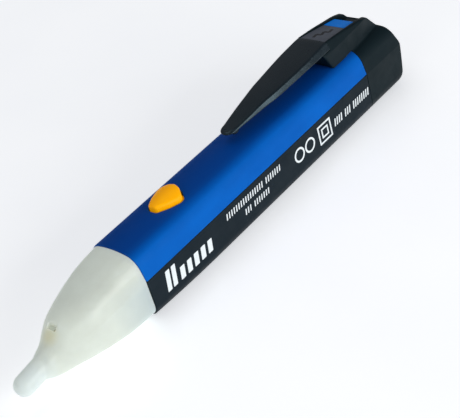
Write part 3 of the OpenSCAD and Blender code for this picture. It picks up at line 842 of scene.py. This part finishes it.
def frame_square(cu, cv, h, width):
    """Four strokes that make a square outline, reaching h from its middle."""
    return [stroke(cu - h - width / 2, cv - h, cu + h + width / 2, cv - h, width),
            stroke(cu - h - width / 2, cv + h, cu + h + width / 2, cv + h, width),
            stroke(cu - h, cv - h + width / 2, cu - h, cv + h - width / 2, width),
            stroke(cu + h, cv - h + width / 2, cu + h, cv + h - width / 2, width)]


def ticks(start, low, high, counts, pitch, width=0.42, gap=0.9):
    """Groups of slim leaning strokes, standing where the small print is."""
    out, at = [], start
    for n in counts:
        out += [bar(at + pitch * k, low, at + pitch * k + width, high, 0.18, 0.1) for k in range(n)]
        at += pitch * n + gap
    return out


def flank_marks():
    """Plain shapes in place of the real marks: no lettering."""
    big = [bar(5.0, 5.4, 6.5, 11.4, 0.16, 0.2), bar(7.2, 5.4, 8.7, 11.4, 0.16, 0.2)]
    big += [bar(10.2 + 2.75 * k, 5.3, 11.9 + 2.75 * k, 9.0, 0.16, 0.2) for k in range(5)]
    lines = ticks(30.3, 9.3, 11.2, (16, 7), 1.0) + ticks(37.2, 6.0, 7.8, (3, 7), 1.0)
    rings = []
    for at in (62.4, 67.3):
        rings += ring_strokes(at, 8.4, 1.95, 0.6, 30)
    squares = frame_square(74.5, 8.2, 2.75, 0.55) + frame_square(74.5, 8.2, 1.3, 0.5)
    rating = ticks(79.0, 6.8, 9.2, (4, 3, 8), 1.05, 0.5, 1.0)
    return big + lines + rings + squares + rating


def panel_point(s, y, lift):
    return (s, y, float(INLAY_TOP(np.array(s))) + lift)


def panel_marks():
    """A plain zig-zag across the grey panel."""
    knots = [(90.0, 1.0), (92.1, 1.4), (92.3, -0.2), (94.4, 0.5), (94.7, -1.1), (96.8, -0.6)]
    return [stroke(*a, *b, 0.8) for a, b in zip(knots, knots[1:])]


# ------------------------------------------------------------------ switch dome


def add_switch_dome():
    """The thin sprung disc under the plunger, built domed at rest; the real one flattens as the button
    goes down.
    """
    low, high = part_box("switch_dome")
    centre, radius = (low.x + high.x) / 2 / MM - JOINT, (high.x - low.x) / 2 / MM
    base, rise, sheet = low.z / MM, (high.z - low.z) / MM, 0.2
    rings, turns = 12, 64
    slot = "spring_steel"

    def height(share):
        return base + rise - (rise - sheet) * share ** 2.2

    verts = [(centre, 0, height(0)), (centre, 0, height(0) - sheet)]
    for k in range(1, rings + 1):
        for drop in (0, sheet):
            verts += [(centre + radius * k / rings * math.cos(2 * math.pi * i / turns),
                       radius * k / rings * math.sin(2 * math.pi * i / turns), height(k / rings) - drop)
                      for i in range(turns)]
    faces = []
    for i in range(turns):
        j = (i + 1) % turns
        top, under = 2, 2 + turns
        faces += [[0, top + i, top + j], [1, under + j, under + i]]
        for k in range(rings - 1):
            a, b = 2 + 2 * k * turns, 2 + 2 * (k + 1) * turns
            faces.append([a + i, b + i, b + j, a + j])
            faces.append([a + turns + j, b + turns + j, b + turns + i, a + turns + i])
        rim = 2 + 2 * (rings - 1) * turns
        faces.append([rim + i, rim + turns + i, rim + turns + j, rim + j])
    dome = add_piece("snap_dome", verts, faces, MATERIALS[slot])
    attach(dome, "body")
    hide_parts("switch_dome")
    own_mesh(dome)


# ------------------------------------------------------------------ floor


def add_floor():
    n, reach, drop = 64, 4.0, 0.00002
    marks = [(i / n - 0.5) * 2 * reach for i in range(n + 1)]
    verts = [(x, y, -drop) for y in marks for x in marks]
    faces = [[j * (n + 1) + i, j * (n + 1) + i + 1, (j + 1) * (n + 1) + i + 1, (j + 1) * (n + 1) + i]
             for j in range(n) for i in range(n)]
    mesh = bpy.data.meshes.new("floor")
    mesh.from_pydata(verts, [], faces)
    m = Shade("floor_paint")
    m.colour(m.blend(m.span(m.noise(60, 2), 0, 1), (0.86, 0.865, 0.875), (0.9, 0.9, 0.905)))
    m.roughness(m.span(m.noise(20, 3), 0.28, 0.36))
    m.bump(m.noise(1.5, 2), 0.004)
    m.set(Emission_Color=(0.95, 0.97, 1.0, 1), Emission_Strength=0.5)
    mesh.materials.append(m.mat)
    floor = bpy.data.objects.new("floor", mesh)
    bpy.context.scene.collection.objects.link(floor)


# ------------------------------------------------------------------ build

add_camera()
add_studio()
finish_cad_nodes()

solid("lower_shell_skin", lower_shell,
      (shell_ruler(1.1), YS, ruler((-0.3, 0.26), (12.4, 0.26), (12.8, 0.07), (13.2, 0.07), (14.3, 0.2))),
      "black_shell", "lower_shell", "body")
solid("upper_shell_skin", upper_shell,
      (shell_ruler(0.17), YS, ruler((12.9, 0.07), (13.3, 0.07), (14.0, 0.26), (19.0, 0.24), (21.4, 0.14))),
      "blue_shell", "upper_shell", "body")
solid("nose_skin", nose_cone,
      (ruler((TIP_S - 0.3, 0.22), (-1.5, 0.28), (-0.6, 0.1), (0.2, 0.1), (4.3, 0.3)), YS,
       ruler((0.9, 0.26), (21.2, 0.26))),
      "frosted_nose", "nose_cone", "body")
solid("button_skin", power_button,
      (ruler((BUTTON_S - 1.1, 0.13), (BUTTON_S + 11.2, 0.13)), ruler((-5.4, 0.13), (5.4, 0.13)),
       ruler((18.0, 0.12), (23.3, 0.12))),
      "orange_button", "power_button", "button")
solid("end_cap_skin", end_cap,
      (ruler((83.6, 0.24), (ROOT_S - 0.6, 0.22), (ROOT_S - 0.3, 0.06), (ROOT_S + 0.3, 0.06),
             (ROOT_S + 0.7, 0.22), (SEAM_S - 1.2, 0.24), (SEAM_S - 0.5, 0.1), (SEAM_S + 0.3, 0.1),
             (SEAM_S + 1.4, 0.25), (REAR_S + 0.3, 0.25)), YS,
       ruler((-0.3, 0.26), (19, 0.26), (HEEL_Z + 0.3, 0.2))),
      "black_cap", "end_cap", "cap")
clip = solid("clip_arm", pocket_clip,
             (ruler((45.6, 0.16), (52, 0.2), (ROOT_S - 1, 0.3), (ROOT_S - 0.3, 0.06),
                    (ROOT_S + 0.3, 0.06)), ruler((-6.2, 0.17), (6.2, 0.17)),
              ruler((22.4, 0.15), (HEEL_Z + 0.3, 0.15))),
             "black_clip", "pocket_clip", None)
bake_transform(clip)
solid("panel_inlay", clip_panel,
      (ruler((87.9, 0.15), (99.0, 0.15)), ruler((-4.8, 0.15), (4.8, 0.15)),
       ruler((25.2, 0.12), (29.0, 0.12))),
      "grey_panel", "clip_panel", "cap")
solid("badge_inlay", clip_badge,
      (ruler((98.5, 0.12), (104.0, 0.12)), ruler((-4.4, 0.12), (4.4, 0.12)),
       ruler((24.6, 0.12), (27.2, 0.12))),
      "blue_badge", "clip_badge", "cap")

add_switch_dome()
add_print("flank_print", flank_marks(), flank_point, "body", INK)
add_print("panel_print", panel_marks(), panel_point, "cap", DARK_INK)
add_floor()
